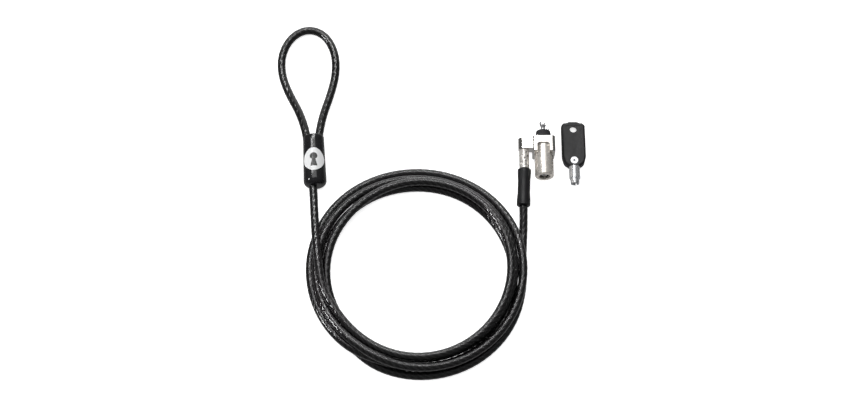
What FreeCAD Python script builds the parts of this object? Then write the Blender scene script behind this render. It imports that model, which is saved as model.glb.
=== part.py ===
"""Laptop cable lock: lock head with a T-bar nose, swivel collar, steel-cored cable in a coil, and its key.

The origin is on the table, under the middle of the lock head and key. +Z is up, and +Y is the way the
lock's nose points. Every length is in millimetres and every angle in degrees.
"""
import FreeCAD, Part
import math
import os

import Sketcher

V = FreeCAD.Vector
ALONG_X = V(1, 0, 0)
ALONG_Y = V(0, 1, 0)
ALONG_Z = V(0, 0, 1)

# Driving dimensions. Axial positions in the lock head are measured from its keyway face, those in the
# collar from its near face, and those in the key from its tip.
SIZES = {
    # where the groups stand
    "swivel_x": -15.5,
    "head_x": -4.95,
    "key_x": 11.35,
    "key_length": 36,
    "axis_height": 5.9,
    "nose_face_place": 6.6,
    "head_roll": -15,
    # lock barrel
    "barrel_dia": 10,
    "barrel_bore": 8.2,
    "barrel_length": 21.75,
    "lip_thickness": 1.4,
    "keyway_dia": 6.1,
    "edge_break": 0.4,
    "flange_dia": 10.8,
    "flange_thickness": 0.6,
    "index_width": 1.1,
    "index_reach": 3.7,
    # plug, spindle and pins
    "plug_start": 1.5,
    "plug_stop": 8,
    "plug_dia": 8.1,
    "groove_dia": 4.9,
    "groove_floor": 4.5,
    "post_start": 1,
    "post_dia": 2.8,
    "post_dimple_dia": 1.2,
    "spindle_dia": 2,
    "spindle_stop": 15,
    "tang_side": 1.2,
    "tang_length": 2.4,
    "pin_circle_dia": 3.9,
    "pin_tip_dia": 0.84,
    "pin_tip_start": 3,
    "pin_flange_dia": 1.02,
    "pin_flange_start": 5.75,
    "pin_stop": 6.5,
    "tip_hole_dia": 0.92,
    "pin_hole_dia": 1.12,
    # pin housing, driver pins and springs
    "housing_start": 8.1,
    "housing_stop": 14.4,
    "driver_hole_depth": 4.9,
    "driver_dia": 1,
    "driver_length": 1.6,
    "spring_mean_dia": 0.7,
    "spring_wire_dia": 0.18,
    "spring_pitch": 0.55,
    "axial_play": 0.05,
    "radial_play": 0.05,
    "dowel_dia": 1,
    "dowel_depth": 3,
    "housing_dowel_place": 13.2,
    "nose_dowel_place": 17.8,
    "washer_start": 14.45,
    "washer_thickness": 0.5,
    "washer_dia": 7,
    # nose block, T-bar and rubber pad
    "nose_start": 15,
    "neck_dia": 5.2,
    "pad_length": 4.7,
    "pad_base_dia": 8.6,
    "pad_front_dia": 7.7,
    "pad_edge_radius": 0.5,
    "tbar_shank_dia": 2.4,
    "tbar_shoulder_dia": 3.2,
    "tbar_start": 15.05,
    "tbar_shoulder_stop": 20,
    "tbar_head_start": 29.3,
    "tbar_head_thickness": 1.95,
    "tbar_head_span": 6.4,
    "tbar_head_width": 2.7,
    "tbar_head_chamfer": 0.45,
    "lug_near_side": 1.35,
    "lug_width": 1.6,
    "lug_height": 2.4,
    "lug_length": 1.95,
    # snap ring
    "snap_place": 19.6,
    "snap_wire_dia": 0.7,
    "snap_sweep": 320,
    # collar and its arm
    "collar_length": 9.15,
    "collar_half_width": 5.9,
    "collar_free_radius": 1.6,
    "collar_arm_radius": 0.8,
    "window_width": 6.7,
    "window_shift": -0.4,
    "window_depth": 5.1,
    "window_corner_radius": 1.3,
    "collar_edge_radius": 0.35,
    "arm_start": 2.9,
    "arm_thickness": 6,
    "arm_root": 5.6,
    "stud_shank_dia": 2.8,
    "stud_head_dia": 3.9,
    "stud_head_start": 6.3,
    "stud_head_thickness": 1.6,
    "cap_thickness": 0.8,
    # cable ferrule and strain relief
    "ferrule_dia": 5.3,
    "ferrule_length": 11.2,
    "ferrule_gap": 0.1,
    "crimp_dimple_dia": 1.7,
    "crimp_dimple_depth": 0.35,
    "relief_length": 20.5,
    "relief_yaw": 2.5,
    "relief_droop": 4,
    "relief_end_dia": 7.2,
    "relief_waist_dia": 6.6,
    "relief_end_gap": 0.3,
    # cable, coil, loop sleeve
    "cable_dia": 4.4,
    "coil_centre_x": -72.2,
    "coil_centre_y": -68,
    "coil_inner_radius": 45.6,
    "coil_outer_radius": 59.3,
    "coil_height": 11,
    "coil_edge_radius": 3.6,
    "sleeve_x": -127.15,
    "sleeve_y": -6.55,
    "sleeve_yaw": 3.6,
    "sleeve_length": 28.8,
    "sleeve_wide_dia": 12.2,
    "sleeve_narrow_dia": 11.2,
    "sleeve_dome": 2.2,
    "sleeve_bore": 10.1,
    "sleeve_bore_length": 18,
    "sleeve_end_wall": 2,
    "sleeve_edge_radius": 0.7,
    "crimp_length": 14,
    "crimp_dia": 9.6,
    "cable_hole_dia": 4.5,
    "badge_width": 10.7,
    "badge_length": 13.2,
    "badge_inset": 0.2,
    "badge_shift": -0.8,
    "badge_proud": 0.08,
    # key
    "shank_dia": 5.8,
    "shank_height": 2.95,
    "shank_tip_dia": 4.7,
    "shank_tip_length": 2.9,
    "shank_bore": 3,
    "shank_bore_depth": 5.5,
    "bow_start": 9.7,
    "bow_width": 12.7,
    "bow_thickness": 5,
    "bow_neck_width": 5.8,
    "bow_hip_width": 10.6,
    "bow_hip_length": 1.75,
    "bow_taper_length": 5.75,
    "bow_crown": 0.7,
    "bow_crown_width": 7.6,
    "bow_shoulder": 2.2,
    "bow_bevel": 1,
    "stem_dia": 3.2,
    "stem_stop": 16.6,
    "panel_width": 8.4,
    "panel_start": 18,
    "panel_stop": 33.6,
    "panel_depth": 0.25,
    "underside_depth": 3.2,
    "panel_radius": 2.6,
    "ring_hole_dia": 3.7,
    "ring_hole_place": 31.3,
    "ring_room_dia": 5.6,
    "ring_room_shift": 0.6,
    "rivet_place": 13,
    "rivet_dia": 1.8,
    "rivet_head_dia": 4,
    "rivet_head_thickness": 0.35,
    "rivet_bore": 1.2,
    "bow_corner_radius": 3.4,
    "bow_shoulder_radius": 1.3,
    "bit_width": 0.9,
    "bit_length": 1,
    "nib_width": 0.9,
    "nib_reach": 3.3,
    "nib_start": 3.2,
    "nib_length": 1.5,
}
PIN_COUNT = 5
PIN_STEPS = 6  # the pins use five of six equal steps round the plug

# Routes of the free cable, chosen by hand. The first starts at the strain relief, and the second runs
# from the coil up through the sleeve, round the end loop and back into the sleeve.
LEAD_ROUTE = [
    (-16.43, -38.9, 3.5),
    (-16.75, -46.9, 2.45),
    (-17.3, -56, 2.25),
    (-17.7, -65, 2.25),
]
LOOP_ROUTE = [
    (-120.9, -79, 9.9),
    (-122.7, -69.5, 9.9),
    (-124.1, -59, 9.3),
    (-125.3, -47.5, 7.8),
    (-126.3, -35.5, 6.8),
    (-127.1, -24, 6.2),
    (-128.4, -12, 6.1),
    (-130.6, -1, 6.1),
    (-132, 11, 5.8),
    (-136.3, 24, 4),
    (-142.6, 36, 2.5),
    (-147, 48, 2.25),
    (-147.3, 60.5, 2.25),
    (-142, 71.5, 2.25),
    (-132.9, 76.2, 2.25),
    (-123.6, 72.3, 2.25),
    (-117.9, 61.5, 2.25),
    (-117, 48.5, 2.25),
    (-119.6, 35.5, 2.6),
    (-123.4, 22, 4.2),
    (-125.2, 9.5, 5.8),
    (-125.6, -2, 6.1),
    (-125.4, -11, 6.1),
]

doc = FreeCAD.newDocument("laptop_cable_lock")
sheet = doc.addObject("Spreadsheet::Sheet", "Size")
for row, (alias, value) in enumerate(SIZES.items(), start=1):
    sheet.set(f"A{row}", alias)
    sheet.set(f"B{row}", str(value))
    sheet.setAlias(f"B{row}", alias)
doc.recompute()

nodes = {}


def keep(item, label):
    """Names an object as one of the sub-parts to write out."""
    item.Label = label
    nodes[label] = item
    return item


def bind(item, **expressions):
    """Drives properties of an object from the sheet."""
    for name, expression in expressions.items():
        item.setExpression(name, expression)
    return item


def place(item, x="0", y="0", z="0", axis=ALONG_Z, angle="0"):
    """Drives an object's position, and its turn about one axis, from the sheet."""
    item.Placement = FreeCAD.Placement(V(0, 0, 0), FreeCAD.Rotation(axis, 1))
    item.setExpression("Placement.Base.x", x)
    item.setExpression("Placement.Base.y", y)
    item.setExpression("Placement.Base.z", z)
    item.setExpression("Placement.Rotation.Angle", angle)
    return item


# ---------------------------------------------------------------- PartDesign helpers

def new_body(name):
    return doc.addObject("PartDesign::Body", name)


def new_sketch(body, plane_role):
    plane = next(f for f in body.Origin.OriginFeatures if f.Role == plane_role)
    sketch = body.newObject("Sketcher::SketchObject", f"{body.Name}_sketch")
    sketch.AttachmentSupport = (plane, [""])
    sketch.MapMode = "FlatFace"
    return sketch


def pin_down(sketch, geometry, vertex, start, corner):
    """Holds a vertex at the two expressions in corner, measured from the sketch's origin."""
    for kind, value, expression in zip(("DistanceX", "DistanceY"), start, corner):
        number = sketch.addConstraint(Sketcher.Constraint(kind, -1, 1, geometry, vertex, value))
        sketch.setExpression(f"Constraints[{number}]", expression)


def draw_outline(sketch, corners):
    """Draws a closed outline of straight lines whose corners are pairs of expressions."""
    count = len(corners)
    first = sketch.GeometryCount
    turns = [2 * math.pi * index / count for index in range(count)]
    starts = [V(30 + 9 * math.cos(turn), 30 + 9 * math.sin(turn), 0) for turn in turns]
    for index in range(count):
        sketch.addGeometry(Part.LineSegment(starts[index], starts[(index + 1) % count]), False)
    for index in range(count):
        following = first + (index + 1) % count
        sketch.addConstraint(Sketcher.Constraint("Coincident", first + index, 2, following, 1))
        pin_down(sketch, first + index, 1, starts[index], corners[index])


def turned(name, corners):
    """A body of revolution about Y from an outline of (radius, axial position) pairs."""
    body = new_body(name)
    sketch = new_sketch(body, "XY_Plane")
    draw_outline(sketch, corners)
    turn = body.newObject("PartDesign::Revolution", f"{name}_turn")
    turn.Profile = sketch
    turn.ReferenceAxis = (sketch, ["V_Axis"])
    turn.Angle = 360
    doc.recompute()
    return body


def pad(body, sketch, length, reverse=False, midplane=False):
    feature = body.newObject("PartDesign::Pad", f"{body.Name}_pad")
    feature.Profile = sketch
    feature.Reversed = reverse
    feature.Midplane = midplane
    bind(feature, Length=length)
    doc.recompute()
    return feature


def pocket(body, sketch, length, reverse=False, midplane=False):
    """Cuts a pocket and stops the build if it removes nothing."""
    before = body.Shape.Volume
    feature = body.newObject("PartDesign::Pocket", f"{body.Name}_pocket")
    feature.Profile = sketch
    feature.Reversed = reverse
    feature.Midplane = midplane
    bind(feature, Length=length)
    doc.recompute()
    if not feature.Shape.Volume < before:
        raise RuntimeError(f"{feature.Name} cuts nothing")
    return feature


def edge_names(shape, wanted):
    return [f"Edge{number}" for number, edge in enumerate(shape.Edges, start=1) if wanted(edge)]


def soften(body, kind, size_property, size, wanted):
    """Adds a Fillet or Chamfer on the edges of a body's last shape that a test picks out."""
    base = body.Tip
    feature = body.newObject(f"PartDesign::{kind}", f"{body.Name}_{kind.lower()}")
    feature.Base = (base, edge_names(base.Shape, wanted))
    feature.setExpression(size_property, size)
    doc.recompute()
    return feature


def parallel(edge, direction):
    """True for a straight edge along a direction."""
    if edge.Curve.TypeId != "Part::GeomLine":
        return False
    return abs(abs(edge.Curve.Direction.dot(direction)) - 1) < 1e-6


# ---------------------------------------------------------------- Part helpers

def cylinder(name, diameter, length, x="0", y="0", z="0", axis=ALONG_X, angle="-90"):
    """A round bar that starts at a point and runs along +Y unless another turn is given."""
    item = doc.addObject("Part::Cylinder", name)
    bind(item, Radius=f"({diameter}) / 2", Height=length)
    return place(item, x, y, z, axis, angle)


def box(name, width, depth, height, x="0", y="0", z="0"):
    """A block centred on x and z that starts at y."""
    item = doc.addObject("Part::Box", name)
    bind(item, Length=width, Width=depth, Height=height)
    return place(item, f"{x} - ({width}) / 2", y, f"{z} - ({height}) / 2")


def joined(name, shapes):
    item = doc.addObject("Part::MultiFuse", name)
    item.Shapes = shapes
    return item


def gathered(name, shapes):
    """Several solids kept apart in one object."""
    item = doc.addObject("Part::Compound", name)
    item.Links = shapes
    return item


def cut(name, base, tools):
    item = doc.addObject("Part::Cut", name)
    item.Base = base
    item.Tool = tools[0] if len(tools) == 1 else joined(f"{name}_tools", tools)
    return item


def common(name, base, tool):
    item = doc.addObject("Part::Common", name)
    item.Base = base
    item.Tool = tool
    return item


# ---------------------------------------------------------------- where the groups stand

SWIVEL_SPACING = "(Size.head_x - Size.swivel_x)"
HEAD_Y = "Size.nose_face_place - Size.barrel_length"
COLLAR_Y = "Size.nose_face_place - Size.collar_length"
FERRULE_Y = "Size.nose_face_place - Size.collar_length + Size.arm_start - Size.ferrule_gap"


def place_in_head(item):
    return place(item, "Size.head_x", HEAD_Y, "Size.axis_height", ALONG_Y, "Size.head_roll")


def place_in_collar(item):
    return place(item, "Size.head_x", COLLAR_Y, "Size.axis_height")


def place_in_key(item):
    return place(item, "Size.key_x", "-Size.key_length / 2", "Size.bow_thickness / 2")


# ---------------------------------------------------------------- lock head

def pin_angles():
    """Angles of the pins round the plug, starting one step past the top."""
    return [360 / PIN_STEPS * (index + 1) for index in range(PIN_COUNT)]


def pin_bar(name, angle, diameter, start, stop):
    """A bar on the pin circle, between two axial positions."""
    turn = math.radians(angle)
    x = f"Size.pin_circle_dia / 2 * {math.sin(turn):.6f}"
    z = f"Size.pin_circle_dia / 2 * {math.cos(turn):.6f}"
    return cylinder(name, diameter, f"{stop} - ({start})", x, start, z)


def dowel_bar(name, diameter, place_along, depth="Size.dowel_depth"):
    """A radial bar under the axis, from a depth inside the barrel out to its surface."""
    length = f"Size.barrel_dia / 2 - {depth} - Size.axial_play"
    return cylinder(name, diameter, length, "0", place_along, f"-{depth}", ALONG_X, "180")


def make_barrel():
    shell = turned("barrel_shell", [
        ("Size.keyway_dia / 2", "0"),
        ("Size.barrel_dia / 2 - Size.edge_break", "0"),
        ("Size.barrel_dia / 2", "Size.edge_break"),
        ("Size.barrel_dia / 2", "Size.barrel_length - Size.flange_thickness"),
        ("Size.flange_dia / 2", "Size.barrel_length - Size.flange_thickness"),
        ("Size.flange_dia / 2", "Size.barrel_length"),
        ("Size.barrel_bore / 2", "Size.barrel_length"),
        ("Size.barrel_bore / 2", "Size.lip_thickness"),
        ("Size.keyway_dia / 2", "Size.lip_thickness"),
    ])
    index = box("index_cut", "Size.index_width", "Size.lip_thickness", "Size.index_reach",
                z="Size.index_reach / 2")
    groove = doc.addObject("Part::Torus", "snap_groove")
    bind(groove, Radius1="Size.barrel_dia / 2", Radius2="Size.snap_wire_dia / 2")
    place(groove, y="Size.snap_place", axis=ALONG_X, angle="-90")
    dowels = [dowel_bar(f"barrel_{name}", "Size.dowel_dia", f"Size.{name}_place")
              for name in ("housing_dowel", "nose_dowel")]
    barrel = cut("barrel", shell, [index, groove] + dowels)
    place_in_head(keep(barrel, "lock_barrel"))


def make_plug():
    blank = turned("plug_blank", [
        ("Size.groove_dia / 2", "Size.plug_start"),
        ("Size.plug_dia / 2", "Size.plug_start"),
        ("Size.plug_dia / 2", "Size.plug_stop"),
        ("Size.spindle_dia / 2", "Size.plug_stop"),
        ("Size.spindle_dia / 2", "Size.groove_floor"),
        ("Size.groove_dia / 2", "Size.groove_floor"),
    ])
    holes = []
    for number, angle in enumerate(pin_angles(), start=1):
        holes.append(pin_bar(f"tip_hole_{number}", angle, "Size.tip_hole_dia",
                             "Size.groove_floor - 1", "Size.plug_stop"))
        holes.append(pin_bar(f"pin_hole_{number}", angle, "Size.pin_hole_dia",
                             "Size.pin_flange_start - Size.axial_play", "Size.plug_stop + 1"))
    place_in_head(keep(cut("plug_body", blank, holes), "plug"))


def make_key_pins():
    for number, angle in enumerate(pin_angles(), start=1):
        tip = pin_bar(f"pin_tip_{number}", angle, "Size.pin_tip_dia", "Size.pin_tip_start",
                      "Size.pin_flange_start")
        flange = pin_bar(f"pin_flange_{number}", angle, "Size.pin_flange_dia",
                         "Size.pin_flange_start", "Size.pin_stop")
        pin = joined(f"pin_{number}", [tip, flange])
        place_in_head(keep(pin, f"key_pin_{number}"))


def make_pin_housing():
    blank = turned("housing_blank", [
        ("Size.spindle_dia / 2 + Size.radial_play", "Size.housing_start"),
        ("Size.barrel_bore / 2", "Size.housing_start"),
        ("Size.barrel_bore / 2", "Size.housing_stop"),
        ("Size.spindle_dia / 2 + Size.radial_play", "Size.housing_stop"),
    ])
    holes = [pin_bar(f"driver_hole_{number}", angle, "Size.pin_hole_dia", "Size.housing_start - 1",
                     "(Size.housing_start + Size.driver_hole_depth)")
             for number, angle in enumerate(pin_angles(), start=1)]
    holes.append(dowel_bar("housing_dowel_hole", "Size.dowel_dia", "Size.housing_dowel_place"))
    place_in_head(keep(cut("housing", blank, holes), "pin_housing"))


def make_driver_pins():
    start = "(Size.housing_start + Size.axial_play)"
    pins = [pin_bar(f"driver_{number}", angle, "Size.driver_dia", start,
                    f"({start} + Size.driver_length)")
            for number, angle in enumerate(pin_angles(), start=1)]
    place_in_head(keep(gathered("drivers", pins), "driver_pins"))


def make_pin_springs():
    """Five wire springs between the driver pins and the ends of their holes."""
    gap = sheet.axial_play
    wire_radius = sheet.spring_wire_dia / 2
    start = sheet.housing_start + gap + sheet.driver_length + gap + wire_radius
    stop = sheet.housing_start + sheet.driver_hole_depth - gap - wire_radius
    helix = Part.makeHelix(sheet.spring_pitch, stop - start, sheet.spring_mean_dia / 2)
    first = helix.Edges[0]
    begin = first.valueAt(first.FirstParameter)
    tangent = first.tangentAt(first.FirstParameter)
    section = Part.Wire(Part.makeCircle(wire_radius, begin, tangent))
    spring = Part.Wire(helix.Edges).makePipeShell([section], True, True)
    spring.rotate(V(0, 0, 0), ALONG_X, -90)
    springs = []
    for angle in pin_angles():
        turn = math.radians(angle)
        reach = sheet.pin_circle_dia / 2
        one = spring.copy()
        one.translate(V(reach * math.sin(turn), start, reach * math.cos(turn)))
        springs.append(one)
    item = doc.addObject("Part::Feature", "springs")
    item.Shape = Part.makeCompound(springs)
    place_in_head(keep(item, "pin_springs"))


def make_dowels():
    for name in ("housing_dowel", "nose_dowel"):
        bar = dowel_bar(f"{name}_bar", "Size.dowel_dia", f"Size.{name}_place")
        place_in_head(keep(gathered(f"{name}_part", [bar]), name))


def make_spindle():
    bar = turned("spindle_bar", [
        ("0", "Size.post_start + Size.edge_break"),
        ("Size.post_dimple_dia / 2", "Size.post_start"),
        ("Size.post_dia / 2", "Size.post_start"),
        ("Size.post_dia / 2", "Size.groove_floor"),
        ("Size.spindle_dia / 2", "Size.groove_floor"),
        ("Size.spindle_dia / 2", "Size.spindle_stop"),
        ("0", "Size.spindle_stop"),
    ])
    tang = box("tang", "Size.tang_side", "Size.tang_length", "Size.tang_side",
               y="Size.spindle_stop")
    place_in_head(keep(joined("spindle_body", [bar, tang]), "spindle"))


def make_thrust_washer():
    washer = turned("washer", [
        ("Size.spindle_dia / 2 + Size.radial_play", "Size.washer_start"),
        ("Size.washer_dia / 2", "Size.washer_start"),
        ("Size.washer_dia / 2", "Size.washer_start + Size.washer_thickness"),
        ("Size.spindle_dia / 2 + Size.radial_play", "Size.washer_start + Size.washer_thickness"),
    ])
    place_in_head(keep(washer, "thrust_washer"))


def make_nose_block():
    neck_stop = "Size.barrel_length + Size.pad_length"
    shoulder_stop = "Size.tbar_shoulder_stop + Size.axial_play"
    blank = turned("nose_blank", [
        ("Size.tbar_shoulder_dia / 2 + Size.radial_play", "Size.nose_start"),
        ("Size.barrel_bore / 2", "Size.nose_start"),
        ("Size.barrel_bore / 2", "Size.barrel_length"),
        ("Size.neck_dia / 2", "Size.barrel_length"),
        ("Size.neck_dia / 2", neck_stop),
        ("Size.tbar_shank_dia / 2 + Size.radial_play", neck_stop),
        ("Size.tbar_shank_dia / 2 + Size.radial_play", shoulder_stop),
        ("Size.tbar_shoulder_dia / 2 + Size.radial_play", shoulder_stop),
    ])
    lug = box("lug", "Size.lug_width", "Size.lug_length", "Size.lug_height",
              x="Size.lug_near_side + Size.lug_width / 2", y=neck_stop)
    hole = dowel_bar("nose_dowel_hole", "Size.dowel_dia", "Size.nose_dowel_place")
    block = cut("nose", joined("nose_and_lug", [blank, lug]), [hole])
    place_in_head(keep(block, "nose_block"))


def make_tbar():
    shank = turned("tbar_shank", [
        ("0", "Size.tbar_start"),
        ("Size.tbar_shoulder_dia / 2", "Size.tbar_start"),
        ("Size.tbar_shoulder_dia / 2", "Size.tbar_shoulder_stop"),
        ("Size.tbar_shank_dia / 2", "Size.tbar_shoulder_stop"),
        ("Size.tbar_shank_dia / 2", "Size.tbar_head_start"),
        ("0", "Size.tbar_head_start"),
    ])
    head_stop = "Size.tbar_head_start + Size.tbar_head_thickness"
    disc = turned("tbar_disc", [
        ("0", "Size.tbar_head_start"),
        ("Size.tbar_head_span / 2", "Size.tbar_head_start"),
        ("Size.tbar_head_span / 2", f"{head_stop} - Size.tbar_head_chamfer"),
        ("Size.tbar_head_span / 2 - Size.tbar_head_chamfer", head_stop),
        ("0", head_stop),
    ])
    slab = new_body("tbar_slab")
    sketch = new_sketch(slab, "XY_Plane")
    half = "Size.tbar_head_width / 2"
    draw_outline(sketch, [
        (f"-{half}", "Size.tbar_head_start"),
        (half, "Size.tbar_head_start"),
        (half, f"{head_stop} - Size.tbar_head_chamfer"),
        (f"{half} - Size.tbar_head_chamfer", head_stop),
        (f"-{half} + Size.tbar_head_chamfer", head_stop),
        (f"-{half}", f"{head_stop} - Size.tbar_head_chamfer"),
    ])
    pad(slab, sketch, "Size.tbar_head_span + 2", midplane=True)
    head = common("tbar_head", disc, slab)
    socket = box("tang_socket", "Size.tang_side", "Size.tang_length", "Size.tang_side",
                 y="Size.spindle_stop + Size.axial_play")
    body = cut("tbar", joined("tbar_solid", [shank, head]), [socket])
    place_in_head(keep(body, "t_bar"))


def make_rubber_pad():
    body = turned("pad_ring", [
        ("Size.neck_dia / 2", "Size.barrel_length"),
        ("Size.pad_base_dia / 2", "Size.barrel_length"),
        ("Size.pad_front_dia / 2", "Size.barrel_length + Size.pad_length"),
        ("Size.neck_dia / 2", "Size.barrel_length + Size.pad_length"),
    ])
    outer = sheet.pad_front_dia / 2
    soften(body, "Fillet", "Radius", "Size.pad_edge_radius",
           lambda edge: abs(edge.BoundBox.XLength / 2 - outer) < 0.01)
    place_in_head(keep(body, "rubber_pad"))


def make_snap_ring():
    ring = doc.addObject("Part::Torus", "snap_wire")
    bind(ring, Radius1="Size.barrel_dia / 2", Radius2="Size.snap_wire_dia / 2",
         Angle3="Size.snap_sweep")
    place(ring, y="Size.snap_place", axis=ALONG_X, angle="-90")
    place_in_head(keep(gathered("snap_ring_part", [ring]), "snap_ring"))


# ---------------------------------------------------------------- swivel collar

def make_collar():
    """A rounded square ring round the barrel, with two windows and an arm that ends in a knuckle."""
    ring = new_body("collar_ring")
    sketch = new_sketch(ring, "XZ_Plane")
    width = "Size.collar_half_width"
    height = "Size.axis_height"
    draw_outline(sketch, [(f"-{width}", f"-{height}"), (width, f"-{height}"), (width, height),
                          (f"-{width}", height)])
    pad(ring, sketch, "Size.collar_length", reverse=True)
    half_width = sheet.collar_half_width
    soften(ring, "Fillet", "Radius", "Size.collar_free_radius",
           lambda edge: parallel(edge, ALONG_Y) and edge.BoundBox.XMin > 0)
    soften(ring, "Fillet", "Radius", "Size.collar_arm_radius",
           lambda edge: parallel(edge, ALONG_Y) and edge.BoundBox.XMax < 0.01 - half_width)
    window = new_sketch(ring, "XY_Plane")
    left = "Size.window_shift - Size.window_width / 2"
    right = "Size.window_shift + Size.window_width / 2"
    draw_outline(window, [(left, "-1"), (right, "-1"), (right, "Size.window_depth"),
                          (left, "Size.window_depth")])
    pocket(ring, window, "Size.axis_height * 2 + 2", midplane=True)
    depth = sheet.window_depth
    soften(ring, "Fillet", "Radius", "Size.window_corner_radius",
           lambda edge: parallel(edge, ALONG_Z) and abs(edge.BoundBox.YMin - depth) < 0.01)
    far_face = sheet.collar_length
    soften(ring, "Fillet", "Radius", "Size.collar_edge_radius",
           lambda edge: edge.BoundBox.YMin > far_face - 0.01 or edge.BoundBox.YMax < 0.01
           and edge.BoundBox.XLength < 2 * sheet.collar_half_width)

    arm_length = "Size.collar_length - Size.arm_start"
    reach = f"({SWIVEL_SPACING} - Size.arm_root)"
    arm = box("arm", reach, arm_length, "Size.arm_thickness",
              x=f"-Size.arm_root - {reach} / 2", y="Size.arm_start")
    knuckle = cylinder("knuckle", "Size.arm_thickness", arm_length, f"-{SWIVEL_SPACING}",
                       "Size.arm_start")
    axis_x = f"-{SWIVEL_SPACING}"
    tools = [
        cylinder("barrel_hole", "Size.barrel_dia + 2 * Size.radial_play",
                 "Size.collar_length + 2", y="-1"),
        cylinder("flange_seat", "Size.flange_dia + 4 * Size.radial_play",
                 "Size.flange_thickness + 2 * Size.radial_play + 1",
                 y="Size.collar_length - Size.flange_thickness - 2 * Size.radial_play"),
        cylinder("stud_hole", "Size.stud_shank_dia + 2 * Size.radial_play",
                 "Size.collar_length", axis_x, "1"),
        cylinder("stud_head_room", "Size.stud_head_dia + 4 * Size.radial_play",
                 "Size.collar_length", axis_x, "Size.stud_head_start - 2 * Size.radial_play"),
    ]
    groove = doc.addObject("Part::Torus", "collar_groove")
    bind(groove, Radius1="Size.barrel_dia / 2", Radius2="Size.snap_wire_dia / 2 + Size.radial_play * 2")
    place(groove, y="Size.snap_place - Size.barrel_length + Size.collar_length", axis=ALONG_X,
          angle="-90")
    collar = cut("collar", joined("collar_blank", [ring, arm, knuckle]), tools + [groove])
    place_in_collar(keep(collar, "swivel_collar"))


def make_arm_cap():
    bar = cylinder("cap_disc", "Size.stud_head_dia + 4 * Size.radial_play", "Size.cap_thickness",
                   f"-{SWIVEL_SPACING}", "Size.collar_length - Size.cap_thickness")
    place_in_collar(keep(gathered("cap", [bar]), "arm_cap"))


def make_stud():
    """The stud that the arm swings on. Its flat head turns in the knuckle, behind the cap."""
    start = "Size.arm_start - Size.ferrule_gap"
    head_stop = "Size.stud_head_start + Size.stud_head_thickness"
    stud = turned("stud", [
        ("0", start),
        ("Size.stud_shank_dia / 2", start),
        ("Size.stud_shank_dia / 2", "Size.stud_head_start"),
        ("Size.stud_head_dia / 2", "Size.stud_head_start"),
        ("Size.stud_head_dia / 2", head_stop),
        ("0", head_stop),
    ])
    place(keep(stud, "swivel_stud"), "Size.swivel_x", COLLAR_Y, "Size.axis_height")


# ---------------------------------------------------------------- cable end

def make_ferrule():
    """The crimped sleeve on the cable's end, with two crimp dimples in each side of its top."""
    tube = turned("ferrule_tube", [
        ("0", "0"),
        ("Size.ferrule_dia / 2 - Size.edge_break", "0"),
        ("Size.ferrule_dia / 2", "Size.edge_break"),
        ("Size.ferrule_dia / 2", "Size.ferrule_length - Size.edge_break"),
        ("Size.ferrule_dia / 2 - Size.edge_break", "Size.ferrule_length"),
        ("0", "Size.ferrule_length"),
    ])
    dimples = []
    for number, (side, share) in enumerate([(-1, 0.25), (1, 0.42), (-1, 0.62), (1, 0.8)], start=1):
        ball = doc.addObject("Part::Sphere", f"dimple_{number}")
        bind(ball, Radius="Size.crimp_dimple_dia / 2")
        reach = "(Size.ferrule_dia / 2 + Size.crimp_dimple_dia / 2 - Size.crimp_dimple_depth)"
        dimples.append(place(ball, f"{side} * {reach} * 0.6", f"Size.ferrule_length * {share}",
                             f"{reach} * 0.8"))
    ferrule = cut("ferrule", tube, dimples)
    place(keep(ferrule, "cable_ferrule"), "Size.swivel_x", f"{FERRULE_Y} - Size.ferrule_length",
          "Size.axis_height")


def place_in_relief(item):
    """The strain relief starts at the ferrule and points back, a little aside and downwards."""
    yaw = FreeCAD.Rotation(ALONG_Z, 180 - sheet.relief_yaw)
    droop = FreeCAD.Rotation(ALONG_X, -sheet.relief_droop)
    item.Placement = FreeCAD.Placement(V(0, 0, 0), yaw.multiply(droop))
    item.setExpression("Placement.Base.x", "Size.swivel_x")
    item.setExpression("Placement.Base.y", f"{FERRULE_Y} - Size.ferrule_length")
    item.setExpression("Placement.Base.z", "Size.axis_height")
    return item


def make_strain_relief():
    end = "Size.relief_end_dia / 2"
    waist = "Size.relief_waist_dia / 2"
    stop = "Size.relief_length"
    sleeve = turned("relief", [
        ("Size.cable_dia / 2", "0"),
        (f"{end} - Size.edge_break", "0"),
        (end, "Size.edge_break"),
        (end, f"{stop} * 0.1"),
        (waist, f"{stop} * 0.3"),
        (waist, f"{stop} * 0.65"),
        (end, f"{stop} * 0.85"),
        (end, f"{stop} - Size.edge_break"),
        (f"{end} - Size.edge_break", stop),
        ("Size.cable_dia / 2", stop),
    ])
    place_in_relief(keep(sleeve, "strain_relief"))
    core_start = "Size.relief_end_gap"
    core_stop = f"{stop} - Size.relief_end_gap"
    core = turned("cable_core", [
        ("0", core_start),
        ("Size.cable_dia / 2", core_start),
        ("Size.cable_dia / 2", core_stop),
        ("0", core_stop),
    ])
    place_in_relief(keep(core, "cable_end"))


# ---------------------------------------------------------------- cable

def route_edges(points):
    """Straight runs joined by tangent arcs, each as large as its two runs allow."""
    edges = []
    radii = []
    start = points[0]
    for before, corner, after in zip(points, points[1:], points[2:]):
        back = (before - corner).normalize()
        ahead = (after - corner).normalize()
        half_turn = (math.pi - back.getAngle(ahead)) / 2
        reach = 0.45 * min(before.distanceToPoint(corner), after.distanceToPoint(corner))
        radius = reach / math.tan(half_turn)
        enter = corner + back * reach
        leave = corner + ahead * reach
        inward = (back + ahead).normalize()
        middle = corner + inward * (radius / math.cos(half_turn) - radius)
        edges.append(Part.LineSegment(start, enter).toShape())
        edges.append(Part.Arc(enter, middle, leave).toShape())
        radii.append(radius)
        start = leave
    edges.append(Part.LineSegment(start, points[-1]).toShape())
    return edges, radii


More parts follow.
